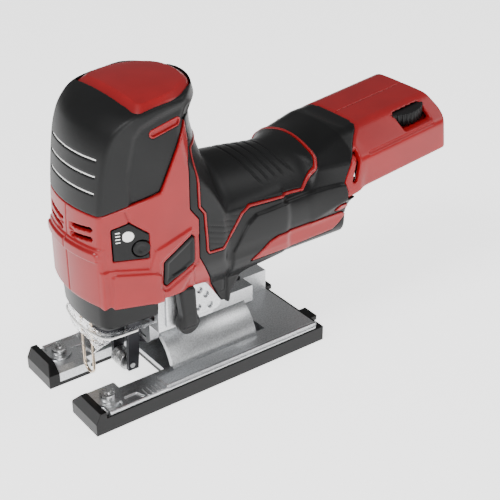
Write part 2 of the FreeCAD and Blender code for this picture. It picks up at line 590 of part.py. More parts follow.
def build_base():
    """Aluminium base plate with the bevel arch and the dust tunnel, in a black plastic shoe."""
    side = "(base_half - shoe_wall - seam)"
    plate = block(("base_front + shoe_nose + seam", "base_back - shoe_wall - seam"), (f"-{side}", side),
                  ("shoe_floor", "plate_top"))
    arch = rod("X", ("arch_front", "arch_back"), ("0", "bevel_height"), "arch_radius")
    arch_top = common(arch, block(("arch_front - 1", "arch_back + 1"), (f"-{side}", side),
                                  ("shoe_floor", "60")))
    tunnel = block(("tunnel_front", "base_back - 3"), ("tunnel_low", "tunnel_low + tunnel_width"),
                   ("shoe_floor", "tunnel_top"))
    bosses = [rod("Z", ("shoe_floor", "plate_top + boss_height"),
                  ("slot_screw_x", f"{s}*front_screw_y"), "boss_radius")
              for s in (-1, 1)]
    solid = fuse(plate, arch_top, tunnel, *bosses)
    channel = common(rod("X", ("arch_front - 1", "arch_back + 1"), ("0", "bevel_height"), "arch_inner"),
                     block(("arch_front - 2", "arch_back + 2"), ("-60", "60"), ("channel_floor", "60")))
    ends = block(("arch_back", "tunnel_front"), ("-arch_inner", "arch_inner"),
                 ("channel_floor", "plate_top + 1"))
    duct = block(("arch_back + 1", "base_back"),
                 ("tunnel_low + tunnel_wall", "tunnel_low + tunnel_width - tunnel_wall"),
                 ("plate_top - 0.5", "tunnel_top - tunnel_wall"))
    well = block(("arch_back + 1", "tunnel_front + 8"),
                 ("tunnel_low + tunnel_wall", "tunnel_low + tunnel_width - tunnel_wall"),
                 ("channel_floor", "plate_top"))
    holes = [rod("Z", ("-1", "plate_top + 20"), ("slot_screw_x", f"{s}*front_screw_y"), "screw_shank")
             for s in (-1, 1)]
    piece("base_plate", cut(solid, slot_block(), *slot_bevels(), mouth_block(), mouth_lip(), channel,
                            ends, duct, well, *holes))
    tray = block(("base_front", "base_back"), ("-base_half", "base_half"), ("0", "shoe_rim"))
    inside = block(("base_front + shoe_nose", "base_back - shoe_wall"),
                   ("-base_half + shoe_wall", "base_half - shoe_wall"),
                   ("shoe_floor", "shoe_rim + 20"))
    nose_low = block(("base_front", "base_front + shoe_nose"), ("-base_half", "base_half"),
                     ("0", "plate_top + 2.5"))
    nose_cut = prism("XZ_Plane",
                     [("base_front - 1", "5"), ("base_front + 3", "plate_top + 3"),
                      ("base_front - 1", "plate_top + 3")],
                     ("-base_half - 1", "base_half + 1"))
    seats = [rod("Z", ("-1", "shoe_floor + 1"), ("slot_screw_x", f"{s}*front_screw_y"),
                 "screw_shank + seam") for s in (-1, 1)]
    tabs = [block(("base_back - 1", "base_back + tab_length"),
                  (f"{s}*tab_spacing/2 - tab_width/2", f"{s}*tab_spacing/2 + tab_width/2"),
                  ("shoe_rim - 3", "shoe_rim")) for s in (-1, 1)]
    shoe = fuse(cut(fuse(cut(tray, inside), nose_low), nose_cut), *tabs)
    piece("glide_shoe", cut(shoe, slot_block(), *slot_bevels(), mouth_block(), *seats))
    screws = [fuse(cut(rod("Z", ("plate_top + boss_height", "plate_top + boss_height + screw_head_high"),
                           ("slot_screw_x", f"{s}*front_screw_y"), "screw_head"),
                       rod("Z", ("plate_top + boss_height + 2", "plate_top + boss_height + 10"),
                           ("slot_screw_x", f"{s}*front_screw_y"), "screw_hex")),
                   rod("Z", ("shoe_floor/2", "plate_top + boss_height"),
                       ("slot_screw_x", f"{s}*front_screw_y"), "screw_shank"))
              for s in (-1, 1)]
    piece("front_screws", group(*screws))


def slot_block():
    """The slot for the blade, open at the front of the base."""
    return block(("base_front - 10", "mouth_low_x + 5"), ("-slot_half", "slot_half"),
                 ("-1", "plate_top + 20"))


def slot_bevels():
    """Chamfers along the top edges of the blade slot."""
    return [prism("YZ_Plane", [(f"{s}*(slot_half - 1)", "plate_top + 4"),
                               (f"{s}*(slot_half - 1)", "plate_top - slot_bevel - 1"),
                               (f"{s}*(slot_half + slot_bevel + 4)", "plate_top + 4")][::-s],
                  ("base_front - 10", "mouth_low_x + 5")) for s in (-1, 1)]


def mouth_block():
    """Wider opening under the guide roller."""
    return block(("mouth_low_x", "mouth_high_x"), ("-mouth_width/2", "mouth_width/2"),
                 ("-1", "plate_top + 20"))


def mouth_lip():
    """The plate is thinner beside the opening, so that it clears the fork when it is tilted."""
    return block(("mouth_low_x - 2", "arch_front"), ("-mouth_width/2 - 3", "mouth_width/2 + 3"),
                 ("mouth_lip", "plate_top + 20"))


def build_base_clamp():
    """Bar under the arch that two screws pull up against the foot."""
    ends = ("arch_front - foot_overhang", "arch_back + foot_overhang")
    top = "bevel_height + arch_inner - gap"
    bar = prism("YZ_Plane", mirrored([("clamp_bar_half", f"{top} - clamp_bar_high"),
                                      ("clamp_bar_half", f"{top} - 2"), ("clamp_bar_half - 2",
                                                                         f"{top} - 1.5")], first=True), ends)
    holes = [rod("Z", ("0", "40"), (x, "0"), "screw_shank + seam")
             for x in ("arch_front - foot_overhang/2", "arch_back + foot_overhang/2")]
    piece("clamp_bar", cut(bar, *holes))
    screws = [fuse(rod("Z", (f"{top} - clamp_bar_high - 3", f"{top} - clamp_bar_high"), (x, "0"),
                       "screw_head"),
                   rod("Z", (f"{top} - clamp_bar_high", "cast_bottom - 1"), (x, "0"), "screw_shank"))
              for x in ("arch_front - foot_overhang/2", "arch_back + foot_overhang/2")]
    piece("clamp_screws", group(*screws))


# ---------------------------------------------------------------- drive

def toothed(teeth, pitch, limits, centre):
    """A straight-toothed gear along X: a root disc with one tooth patterned round it."""
    body = doc.addObject("PartDesign::Body", "Gear")
    start, end = limits
    drawing = body.newObject("Sketcher::SketchObject", "Root")
    drawing.AttachmentSupport = [(origin_plane(body, "YZ_Plane"), "")]
    drawing.MapMode = "FlatFace"
    drawing.setExpression("AttachmentOffset.Base.z", dim(start))
    root = f"{pitch} - 1.15*tooth_module"
    drawing.addGeometry(Part.Circle(Vector(), Vector(0, 0, 1), size(root)))
    drawing.addConstraint(Sketcher.Constraint("Coincident", 0, 3, -1, 1))
    number = drawing.addConstraint(Sketcher.Constraint("Radius", 0, size(root)))
    drawing.setExpression(f"Constraints[{number}]", dim(root))
    disc = body.newObject("PartDesign::Pad", "Disc")
    disc.Profile = drawing
    bind(disc, Length=f"({end}) - ({start})")
    flank = "(1.5*tooth_module)"
    tooth = body.newObject("PartDesign::Pad", "Tooth")
    tooth.Profile = sketch(body, "YZ_Plane", [
        (f"{root} - 0.4*tooth_module", f"-0.62*{flank}"), (f"{pitch} + 0.9*tooth_module", f"-0.26*{flank}"),
        (f"{pitch} + 0.9*tooth_module", f"0.26*{flank}"), (f"{root} - 0.4*tooth_module", f"0.62*{flank}"),
    ], start)
    bind(tooth, Length=f"({end}) - ({start})")
    pattern = body.newObject("PartDesign::PolarPattern", "Teeth")
    pattern.Originals = [tooth]
    pattern.Axis = (origin_plane(body, "X_Axis"), [""])
    pattern.Angle = 360
    bind(pattern, Occurrences=teeth)
    body.Tip = pattern
    return place(body, 0, 0, centre)


def build_crank():
    """Gear wheel on its fixed shaft, with the eccentric pin and its roller in front."""
    wheel = toothed("gear_teeth", "gear_pitch", ("gear_x", "gear_back"), "gear_z")
    bore = rod("X", ("gear_x - 1", "gear_back + 1"), ("0", "gear_z"), "gear_shaft + running")
    lightening = [rod("X", ("gear_x - 1", "gear_back + 1"),
                      (f"(gear_pitch - 9)*cos({a}deg)", f"gear_z + (gear_pitch - 9)*sin({a}deg)"), "3.5")
                  for a in (90, 135, 180, 225, 270)]
    pin = rod("X", ("yoke_back + gap", "gear_x + 2"), ("crank_throw", "gear_z"), "crank_pin")
    piece("crank_gear", fuse(cut(wheel, bore, *lightening), pin))
    piece("crank_roller", ring("X", ("yoke_back + gap", "gear_x"), ("crank_throw", "gear_z"),
                               "crank_pin", "crank_roller"))


def build_rotor():
    """Motor shaft with its pinion, magnet core and fan, between two bearings."""
    pinion = toothed("pinion_teeth", "pinion_pitch", ("gear_x", "gear_back + 1"), "barrel_height")
    piece("pinion", cut(pinion,
                        rod("X", ("gear_x - 1", "gear_back + 2"), ("0", "barrel_height"),
                            "rotor_shaft*0.6")))
    thin = rod("X", ("gear_x", "gear_back + 1"), ("0", "barrel_height"), "rotor_shaft*0.6")
    thick = rod("X", ("gear_back + 1", "rear_bearing + bearing_width + 1"), ("0", "barrel_height"),
                "rotor_shaft")
    piece("rotor_shaft", fuse(thin, thick))
    piece("rotor_core", ring("X", ("motor_x", "motor_back"), ("0", "barrel_height"), "rotor_shaft",
                             "rotor_radius"))
    hub = ring("X", ("fan_x", "fan_x + fan_width"), ("0", "barrel_height"), "rotor_shaft", "7")
    disc = ring("X", ("fan_x + fan_width - 2", "fan_x + fan_width"), ("0", "barrel_height"), "6",
                "fan_radius")
    vanes = [fan_vane(index) for index in range(11)]
    piece("cooling_fan", fuse(hub, disc, *vanes))
    sleeves = [ring("X", (start, f"{start} + bearing_width"), ("0", "barrel_height"),
                    "rotor_shaft + running", outer)
               for start, outer in (("plate_front + gap", "bearing_radius"),
                                    ("rear_bearing", "bearing_radius"))]
    piece("motor_bearings", group(*sleeves))
    carrier = ring("X", ("rear_bearing - 2", "rear_bearing + bearing_width"), ("0", "barrel_height"),
                   "bearing_radius", "stator_radius")
    windows = [rod("X", ("rear_bearing - 3", "rear_bearing + bearing_width + 1"),
                   (f"18*cos({a}deg)", f"barrel_height + 18*sin({a}deg)"), "4") for a in range(0, 360, 60)]
    piece("bearing_carrier", cut(carrier, *windows))


def fan_vane(index):
    """One vane of the fan: a flat plate set on its radius."""
    vane = block(("fan_x", "fan_x + fan_width - 1"), ("6.5", "fan_radius - 0.5"), ("-0.6", "0.6"))
    return place(group(vane), 0, 0, "barrel_height", Rotation(Vector(1, 0, 0), 360 / 11 * index))


def build_stator():
    """Laminated stator with slots, and the windings of each tooth."""
    core = ring("X", ("motor_x + 2", "motor_back - 2"), ("0", "barrel_height"),
                "rotor_radius + air_gap", "stator_radius")
    slots = []
    coils = []
    for index in range(6):
        angle = 60 * index
        middle = "(rotor_radius + stator_radius)/2"
        centre = (f"{middle}*cos({angle}deg)", f"barrel_height + {middle}*sin({angle}deg)")
        slots.append(rod("X", ("motor_x", "motor_back"), centre, "3.6"))
        coils.append(rod("X", ("motor_x - 1", "motor_back + 1"), centre, "3.6 - seam"))
    piece("stator_core", cut(core, *slots))
    piece("stator_windings", group(*coils))


def build_plunger():
    """Reciprocating rod with its yoke, and the quick blade clamp under it."""
    shaft = rod("Z", ("rod_low - 6", "rod_top"), ("plunger_x", "0"), "plunger_radius")
    yoke = block(("plunger_x - 1", "yoke_back"), ("-yoke_width/2", "yoke_width/2"),
                 ("yoke_low", "yoke_low + yoke_high"))
    slot = block(("plunger_x - 2", "yoke_back + 1"),
                 ("-crank_throw - crank_slot", "crank_throw + crank_slot"),
                 ("gear_z - crank_slot", "gear_z + crank_slot"))
    keep = rod("Z", ("yoke_low - 1", "yoke_low + yoke_high + 1"), ("plunger_x", "0"), "plunger_radius")
    piece("plunger_rod", fuse(shaft, cut(yoke, cut(slot, keep))))
    socket = rod("Z", ("rod_low - 6", "rod_low"), ("plunger_x", "0"), "plunger_radius")
    blade_gap = block(("plunger_x - 4.2", "plunger_x + 4.2"), ("-0.9", "0.9"),
                      ("clamp_low - 1", "rod_low - 6"))
    body = rod("Z", ("clamp_low", "rod_low"), ("plunger_x", "0"), "clamp_radius")
    piece("blade_clamp", cut(body, socket, blade_gap))
    low, high = "clamp_low + 3", "rod_low - 2"
    collar = ring("Z", (low, high), ("plunger_x", "0"), "clamp_radius + running", "collar_radius")
    wing = block(("plunger_x - collar_radius - 1.5", "plunger_x - clamp_radius - 1"), ("-1.5", "1.5"),
                 (low, high))
    piece("clamp_collar", fuse(collar, wing))


def build_counterweight():
    """Fork-shaped weight behind the gear that moves against the plunger."""
    low = "gear_z - gear_shaft - weight_travel - gap"
    weight = block(("gear_back + gap", "gear_back + gap + weight_thick"),
                   ("-weight_half", "weight_half"), (low, "gear_z + gear_pitch + 4"))
    slot = block(("gear_back", "gear_back + 2*gap + weight_thick"),
                 ("-gear_shaft - 2*gap", "gear_shaft + 2*gap"),
                 (f"{low} - 1", "gear_z + gear_shaft + weight_travel + gap"))
    notch = block(("gear_back", "gear_back + 2*gap + weight_thick"), ("-arm_half - gap", "arm_half + gap"),
                  ("rod_bush_high - weight_travel - gap", "gear_z + gear_pitch + 5"))
    piece("counterweight", cut(weight, slot, notch))
    guides = []
    for s in (-1, 1):
        edges = tuple(sorted((f"{s}*(weight_half + gap)", f"{s}*(weight_half + 4)"), key=size))
        guides.append(block(("gear_back + 2*gap", "plate_front"), edges,
                            ("gear_z + 4", "gear_z + gear_pitch + 2")))
    piece("weight_guides", group(*guides))


# ---------------------------------------------------------------- blade guide

def build_pendulum():
    """Roller fork, its roller and pin, and the lever whose cam sets the fork's swing."""
    arms = []
    for s in (-1, 1):
        y = tuple(sorted((f"{s}*fork_half", f"{s}*(fork_half - fork_wall)"), key=size))
        arms.append(prism("XZ_Plane",
                          [("fork_x - 3.4", "fork_pivot + 3.4"), ("fork_x - 3.4", "fork_pivot - 8"),
                                       ("roller_x - 2.4", "fork_low"), ("roller_x + 4", "fork_low"),
                                       ("fork_x + 4.4", "fork_pivot - 8"), ("fork_x + 4.4",
                                                                            "fork_pivot + 3.4")][::-1], y))
    web = block(("fork_x + 0.5", "fork_x + 4.4"), ("-fork_half + 1", "fork_half - 1"),
                ("fork_pivot - 26", "fork_pivot - 6"))
    holes = [rod("Y", ("-fork_half - 1", "fork_half + 1"), ("fork_x", "fork_pivot"), "fork_pin + running"),
             rod("Y", ("-fork_half - 1", "fork_half + 1"), ("roller_x", "roller_z"), "fork_pin - 0.5")]
    piece("roller_fork", cut(fuse(*arms, web), *holes))
    piece("roller_pin", rod("Y", ("-fork_half - 0.6", "fork_half + 0.6"), ("roller_x", "roller_z"),
                            "fork_pin - 0.5"))
    tyre = ring("Y", ("-roller_half", "roller_half"), ("roller_x", "roller_z"),
                "fork_pin - 0.5 + running", "roller_radius")
    groove = ring("Y", ("-0.8", "0.8"), ("roller_x", "roller_z"), "roller_radius - 0.9", "roller_radius + 1")
    piece("guide_roller", cut(tyre, groove))
    outer = ("-lever_inner - lever_thick", "-lever_inner")
    hub = rod("Y", ("-lever_inner - lever_thick", "-lever_inner"), ("lever_x", "lever_z"), "lever_hub")
    arm = prism("XZ_Plane", [("lever_x - 4.6", "lever_z"), ("lever_x + 4.6", "lever_z"),
                             ("lever_x + 4.6", "lever_z + lever_reach"), ("lever_x - 4.6",
                                                                          "lever_z + lever_reach")], outer)
    collar = rod("Y", ("-lever_inner", "-cast_half - gap"), ("lever_x", "lever_z"), "lever_shaft + 1")
    shaft_bore = rod("Y", ("-lever_inner - 1.5", "-cast_half"), ("lever_x", "lever_z"), "lever_shaft")
    piece("pendulum_lever", cut(fuse(hub, arm, collar), shaft_bore))
    shaft = rod("Y", ("-lever_inner - 1.5", "10"), ("lever_x", "lever_z"), "lever_shaft")
    flat = block(("lever_x + 1", "lever_x + 5"), ("0", "11"), ("lever_z - 5", "lever_z + 5"))
    piece("pendulum_cam", cut(shaft, flat))


def check_and_write():
    """Stop at a failed object; otherwise write every sub-part's shape."""
    doc.recompute()
    failed = [obj.Name for obj in doc.Objects if "Invalid" in obj.State or "Error" in obj.State]
    for label, obj in pieces.items():
        if obj.Shape.isNull() or not obj.Shape.isValid() or not obj.Shape.Solids:
            failed.append(label)
    if failed:
        raise RuntimeError(f"failed objects: {failed}")
    os.makedirs("parts", exist_ok=True)
    for label, obj in pieces.items():
        obj.Shape.exportStep(f"parts/{label}.step")
        box = obj.Shape.BoundBox
        print(f"{label:20s} {len(obj.Shape.Solids)} solids  {obj.Shape.Volume:10.1f} mm3  "
              f"X {box.XMin:7.1f} {box.XMax:7.1f}  Y {box.YMin:6.1f} {box.YMax:6.1f}  "
              f"Z {box.ZMin:6.1f} {box.ZMax:6.1f}")


fill_sheet()
build_housing()
build_head_trim()
build_barrel_trim()
build_battery_bay()
build_dial()
build_controls()
build_gear_housing()
build_gear_frame()
build_foot_trim()
build_base()
build_base_clamp()
build_crank()
build_rotor()
build_stator()
build_plunger()
build_counterweight()
build_pendulum()
check_and_write()
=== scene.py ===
"""Looks of the barrel-grip jigsaw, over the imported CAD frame: shells, trims, materials, light and camera."""
import json
import math

import bpy
import numpy as np
import openvdb as vdb
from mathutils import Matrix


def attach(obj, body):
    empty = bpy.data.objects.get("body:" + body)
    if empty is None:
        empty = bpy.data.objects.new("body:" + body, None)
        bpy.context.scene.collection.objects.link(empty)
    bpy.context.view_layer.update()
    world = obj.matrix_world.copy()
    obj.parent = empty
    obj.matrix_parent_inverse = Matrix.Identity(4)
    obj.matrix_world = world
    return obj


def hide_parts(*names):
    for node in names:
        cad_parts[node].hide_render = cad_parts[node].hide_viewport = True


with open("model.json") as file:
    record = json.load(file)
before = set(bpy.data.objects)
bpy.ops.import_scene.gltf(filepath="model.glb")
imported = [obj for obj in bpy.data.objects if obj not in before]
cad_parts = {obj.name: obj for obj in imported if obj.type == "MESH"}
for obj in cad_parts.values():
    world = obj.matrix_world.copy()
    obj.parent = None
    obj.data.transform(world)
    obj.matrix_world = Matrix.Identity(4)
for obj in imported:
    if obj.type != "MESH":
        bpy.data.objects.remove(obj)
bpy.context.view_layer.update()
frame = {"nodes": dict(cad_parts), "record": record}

METRES = 0.001         # a millimetre, in the scene's metres
BLOCK = 8              # grid cells along one side of a sampled block
BAND = 3               # cells on each side of a surface that hold its distance
BATCH = 300            # blocks sampled at once


# ------------------------------------------------------------------ fields, in millimetres
# A field is negative inside a shape. Each takes arrays of x, y and z.

def most(*fields, r=0.0):
    """What every field shares, its edges rounded by r."""
    out = fields[0]
    for field in fields[1:]:
        top = np.maximum(out, field)
        if r:
            near = np.maximum(r - np.abs(out - field), 0.0)
            top = top + near * near / (4 * r)
        out = top
    return out


def least(*fields, r=0.0):
    """Everything in any of the fields, with fillets of r."""
    return -most(*(-field for field in fields), r=r)


def ramp(value, start, end):
    """0 before start, 1 after end, smooth between."""
    t = np.clip((value - start) / (end - start), 0.0, 1.0)
    return t * t * (3 - 2 * t)


def past(u, v, a, b):
    """Distance to the left of the line from a to b."""
    du, dv = b[0] - a[0], b[1] - a[1]
    return (du * (v - a[1]) - dv * (u - a[0])) / math.hypot(du, dv)


def run(u, v, points):
    """Distance to an open line through points."""
    best = np.full(np.shape(u), 1e9, np.float32)
    for (au, av), (bu, bv) in zip(points, points[1:]):
        du, dv = bu - au, bv - av
        t = np.clip(((u - au) * du + (v - av) * dv) / (du * du + dv * dv), 0.0, 1.0)
        best = np.minimum(best, (u - au - t * du) ** 2 + (v - av - t * dv) ** 2)
    return np.sqrt(best)


def outline(u, v, points):
    """Signed distance to a closed outline."""
    inside = np.zeros(np.shape(u), bool)
    for (au, av), (bu, bv) in zip(points, points[1:] + points[:1]):
        if av != bv:
            inside ^= ((av > v) != (bv > v)) & (u < (bu - au) * (v - av) / (bv - av) + au)
    edge = run(u, v, points + points[:1])
    return np.where(inside, -edge, edge)


def slab(value, low, high):
    """Between low and high."""
    return np.maximum(low - value, value - high)


def box(x, y, z, low, high, r=0.0):
    """A block between two corners, with edges rounded by r."""
    return most(slab(x, low[0], high[0]), slab(y, low[1], high[1]), slab(z, low[2], high[2]), r=r)


def carve(name, field, low, high, step, body, slot, *nodes):
    """The surface of a field as a piece, sampled on a grid of step but only near the surface."""
    size = [int(math.ceil((b - a) / step / BLOCK) + 1) * BLOCK for a, b in zip(low, high)]
    grid = np.empty(size, np.float32)
    centres = [a + step * (np.arange(0, n, BLOCK) + (BLOCK - 1) / 2) for a, n in zip(low, size)]
    coarse = field(*(c.astype(np.float32) for c in np.meshgrid(*centres, indexing="ij")))
    filled = np.sign(coarse)
    for axis in range(3):
        filled = np.repeat(filled, BLOCK, axis)
    grid[:] = filled * BAND * step
    offsets = np.stack(np.meshgrid(*[np.arange(BLOCK)] * 3, indexing="ij"), -1).reshape(-1, 3)
    near = np.argwhere(np.abs(coarse) < (BLOCK + 0.5) * step) * BLOCK
    for start in range(0, len(near), BATCH):
        cells = (near[start:start + BATCH, None, :] + offsets[None]).reshape(-1, 3)
        at = (cells * step + np.array(low)).astype(np.float32)
        found = field(at[:, 0], at[:, 1], at[:, 2])
        grid[cells[:, 0], cells[:, 1], cells[:, 2]] = np.clip(found, -BAND * step, BAND * step)
    volume = vdb.FloatGrid(BAND * step)
    volume.copyFromArray(grid)
    points, quads = volume.convertToQuads(0.0)
    return piece(name, (points * step + np.array(low)) * METRES, quads[:, ::-1], body, slot, *nodes)


def piece(name, points, faces, body, slot, *nodes):
    """A smooth-shaded mesh that rides on a body and may stand for CAD nodes."""
    mesh = bpy.data.meshes.new(name)
    mesh.from_pydata(points.tolist(), [], faces.tolist())
    mesh.shade_smooth()
    made = bpy.data.objects.new(name, mesh)
    bpy.context.scene.collection.objects.link(made)
    mesh.materials.append(FINISH[slot])
    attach(made, body)
    if nodes:
        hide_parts(*nodes)
    return made


# ------------------------------------------------------------------ materials

def finish(name, colour, rough, metal=0.0, grain=1.0, bump=0.1, shade=0.06, stretch=(1, 1, 1), spread=0.1,
           fleck=False, **sockets):
    """A surface with fine grain of that size in mm, cloudy colour and uneven gloss."""
    made = bpy.data.materials.new(name)
    made.use_nodes = True
    tree = made.node_tree
    shader = tree.nodes["Principled BSDF"]
    shader.inputs["Metallic"].default_value = metal
    for key, value in sockets.items():
        shader.inputs[key.replace("_", " ")].default_value = value
    where = tree.nodes.new("ShaderNodeTexCoord")
    turn = tree.nodes.new("ShaderNodeMapping")
    turn.inputs["Scale"].default_value = stretch
    tree.links.new(where.outputs["Object"], turn.inputs["Vector"])

    def noise(scale, detail):
        node = tree.nodes.new("ShaderNodeTexNoise")
        node.inputs["Scale"].default_value = scale
        node.inputs["Detail"].default_value = detail
        tree.links.new(turn.outputs["Vector"], node.inputs["Vector"])
        return node.outputs["Fac"]

    clouds, fine = noise(60, 4), noise(1000 / grain, 3)
    tint = tree.nodes.new("ShaderNodeValToRGB")
    for stop, side in zip(tint.color_ramp.elements, (1 - shade, 1 + shade)):
        stop.color = (*(min(1.0, c * side) for c in colour), 1)
    tint.color_ramp.elements[0].position, tint.color_ramp.elements[1].position = 0.35, 0.65
    tree.links.new(fine if fleck else clouds, tint.inputs["Fac"])
    tree.links.new(tint.outputs["Color"], shader.inputs["Base Color"])
    gloss = tree.nodes.new("ShaderNodeMapRange")
    gloss.inputs["To Min"].default_value = rough - spread / 2
    gloss.inputs["To Max"].default_value = rough + spread / 2
    tree.links.new(fine, gloss.inputs["Value"])
    tree.links.new(gloss.outputs["Result"], shader.inputs["Roughness"])
    relief = tree.nodes.new("ShaderNodeBump")
    relief.inputs["Strength"].default_value = bump
    relief.inputs["Distance"].default_value = 0.0002
    tree.links.new(fine, relief.inputs["Height"])
    tree.links.new(relief.outputs["Normal"], shader.inputs["Normal"])
    return made


FINISH = {
    "red_plastic": finish("red_plastic", (0.25, 0.005, 0.007), 0.34, grain=0.5, bump=0.06, shade=0.06,
                          Specular_IOR_Level=0.4),
    "soft_grip": finish("soft_grip", (0.004, 0.0042, 0.0044), 0.46, grain=0.35, bump=0.12, shade=0.15,
                        Specular_IOR_Level=0.25),
    "black_plastic": finish("black_plastic", (0.0035, 0.0036, 0.0038), 0.36, grain=0.4, bump=0.08, shade=0.15,
                            Specular_IOR_Level=0.22),
    "cast_aluminium": finish("cast_aluminium", (0.56, 0.57, 0.58), 0.34, 1.0, grain=0.8, bump=0.4, shade=0.16,
                             fleck=True),
    "clear_plastic": finish("clear_plastic", (0.95, 0.97, 0.98), 0.05, grain=6, bump=0.01, shade=0.01,
                            spread=0.02, Transmission_Weight=1.0, IOR=1.2, Alpha=0.5),
    "hard_steel": finish("hard_steel", (0.52, 0.52, 0.52), 0.28, 1.0, grain=0.6, bump=0.05,
                         stretch=(1, 1, 0.1)),
    "spring_steel": finish("spring_steel", (0.62, 0.50, 0.38), 0.2, 1.0, grain=0.6, bump=0.03),
    "black_steel": finish("black_steel", (0.03, 0.03, 0.034), 0.4, 0.8, grain=0.5, bump=0.1),
    "bronze": finish("bronze", (0.5, 0.32, 0.14), 0.4, 1.0, grain=0.3, bump=0.2),
    "copper": finish("copper", (0.62, 0.25, 0.11), 0.3, 1.0, grain=0.8, bump=0.3, stretch=(1, 4, 4)),
    "lamination": finish("lamination", (0.22, 0.22, 0.23), 0.45, 1.0, grain=0.5, bump=0.5,
                         stretch=(8, 0.1, 0.1)),
    "circuit_board": finish("circuit_board", (0.02, 0.12, 0.05), 0.4, grain=1.5, bump=0.2),
    "lamp_white": finish("lamp_white", (0.85, 0.85, 0.83), 0.4, grain=0.4, bump=0.05, shade=0.02),
    "felt": finish("felt", (0.3, 0.28, 0.25), 0.95, grain=0.25, bump=0.8),
}

WELD = 1e-6            # metres between points that a node's mesh joins
EDGE = 0.00025         # metres of bevel on a node's sharp edges
SHARP = 40             # degrees between faces from which an edge is bevelled

for part in frame["record"]["subparts"]:
    node = frame["nodes"][part["node"]]
    node.data.materials.clear()
    node.data.materials.append(FINISH[part["material_slot"]])
    weld = node.modifiers.new("weld", "WELD")
    weld.merge_threshold = WELD
    edge = node.modifiers.new("edge", "BEVEL")
    edge.width = EDGE
    edge.segments = 2
    edge.limit_method = "ANGLE"
    edge.angle_limit = math.radians(SHARP)


# ------------------------------------------------------------------ the housing's outer form

# Outlines in side view, as (x, z)
PUSH_PAD = [(-27.8, 85.3), (-26.4, 86.4), (-11, 95.4), (-9.2, 93.8), (-9.4, 79.9), (-26.8, 71.5),
            (-28.4, 73.2)]
LAMP_PANEL = [(-53.2, 108.7), (-44.4, 111.2), (-35.2, 103.8), (-35.4, 90.2), (-53, 91.2)]
GRIP_EDGE = [(-90, 116), (-58.6, 116.6), (-27.5, 124.8), (-15.3, 149.2), (-9.5, 157.8), (40, 157.8),
             (40, 220), (-90, 220)]
RED_REAR = [(-9.5, 157.8), (-7.5, 147.2), (-11.1, 136.1), (-11, 110.5), (-5.8, 103.4), (-6.2, 81.2),
            (11.7, 46.2), (14.5, 38), (130, 38), (130, 157.8)]
PAD_EDGE = [(-6.2, 141), (-5.4, 110.2), (-2.1, 105.5), (-1.1, 83.7), (0, 82), (8.8, 81.5), (14.3, 86.8),
            (22.6, 97.1), (27.5, 99.8), (65.5, 97.4), (75, 106.5), (78, 111.5), (78.5, 118), (77, 141)]
SHOULDER = [(-44, 110), (-44, 138.6), (-40.3, 155.8), (-36.5, 160.5), (-26.6, 163.7), (-10, 167),
            (30, 150), (30, 110)]
BELLY = [(28, 66.5), (41, 75.2), (46, 76.8), (92, 76.8), (95.6, 74.5), (91, 70.2), (86, 67.2), (60, 66.2)]
CATCH = [(86, 79.4), (89.5, 82.8), (94, 82.6), (95.6, 80), (90, 78.6)]
CHEEK_SLOT = [(-29.5, 155.6), (-15.5, 158.7)]
BUTTON = (-39.3, 96.5)
GROOVES = (128, 136.8, 145.2)      # heights of the grooves across the front
GAP = 0.12                         # half the joint between two neighbouring trims
TILT = math.radians(7)
BAY = (95.2, 89.4)


def head(x, y, z):
    """The upright head: bowed front, facets beside it, straight sides and a shallow domed top."""
    a, bow = np.abs(y), 0.0072 * y * y
    front = most(
        -64 + bow - x,
        past(x - bow, z, (-64, 118), (-58, 154)),
        past(x - bow, z, (-58, 154), (-52, 163)),
        past(x - bow, z, (-52, 163), (-40, 169.5)), r=4)
    top = z - (173.3 - 0.0035 * (x + 8) ** 2 - 0.0032 * y * y)
    side = most(a - 34, past(x, a, (-59.5, 25), (-32, 34)), past(-a, z, (-34, 150), (-31.5, 168)), r=2)
    nape = np.interp(z, (60, 100, 120, 138, 150, 158, 165, 172), (20, 20, 15.5, 9.5, 6.5, 6, 9.3, 7.5))
    rear = (x - nape + (0.008 + 0.011 * ramp(z, 100, 138)) * y * y) * 0.92
    return most(most(front, side, r=2), top, rear, r=2.4)


def barrel(x, y, z):
    """The lying barrel, a little flatter on top towards the battery."""
    up = z - 86.5
    top = np.interp(x, (-20, 0, 20, 40, 60, 76, 110), (34.5, 34.4, 34, 32.4, 30, 30.6, 31))
    radius = 32 + (top - 32) * ramp(up, 0, 28) - 8 * ramp(-up, 6, 30)
    belly = most(np.abs(y) - 30.6, 62 - z, z - 94, r=9)
    return most(least(np.sqrt(y * y + up * up) - radius, belly, r=3), slab(x, -30, 95), r=2)


def local(x, z):
    """Along and above the battery housing, which is tilted."""
    dx, dz = x - BAY[0], z - BAY[1]
    return dx * math.cos(TILT) + dz * math.sin(TILT), dz * math.cos(TILT) - dx * math.sin(TILT)


def tail(x, y, z):
    """The battery housing and the flare before it."""
    u, w = local(x, z)
    a = np.abs(y)
    flare = -np.minimum(u - 6, 0)
    sides = most(a - 37 + 0.42 * flare, past(-a, w, (-37, 18), (-20, 30)) + 0.2 * flare,
                 w - 30.2 + 0.0008 * y * y + 0.3 * flare, r=2.2)
    ends = most(-16 - u, u - 77, past(-u, w, (-77, 14), (-74, 30)), past(-u, a, (-77, 30), (-72, 37.5)), r=3)
    return most(sides, ends, -w, r=1.5)


def neck(x, y, z):
    """The leg that reaches down behind the gear housing."""
    shape = outline(x, z, [(-8, 100), (1.5, 61), (13.2, 42.5), (17.6, 42.2), (18.9, 49), (21.4, 51.5),
                           (24.8, 57.1), (29.2, 60.7), (37, 62.4), (50, 66), (50, 100)])
    half = 25.5 + np.clip(z - 57, 0, 14) * 0.4
    return most(shape, np.abs(y) - half, r=2)


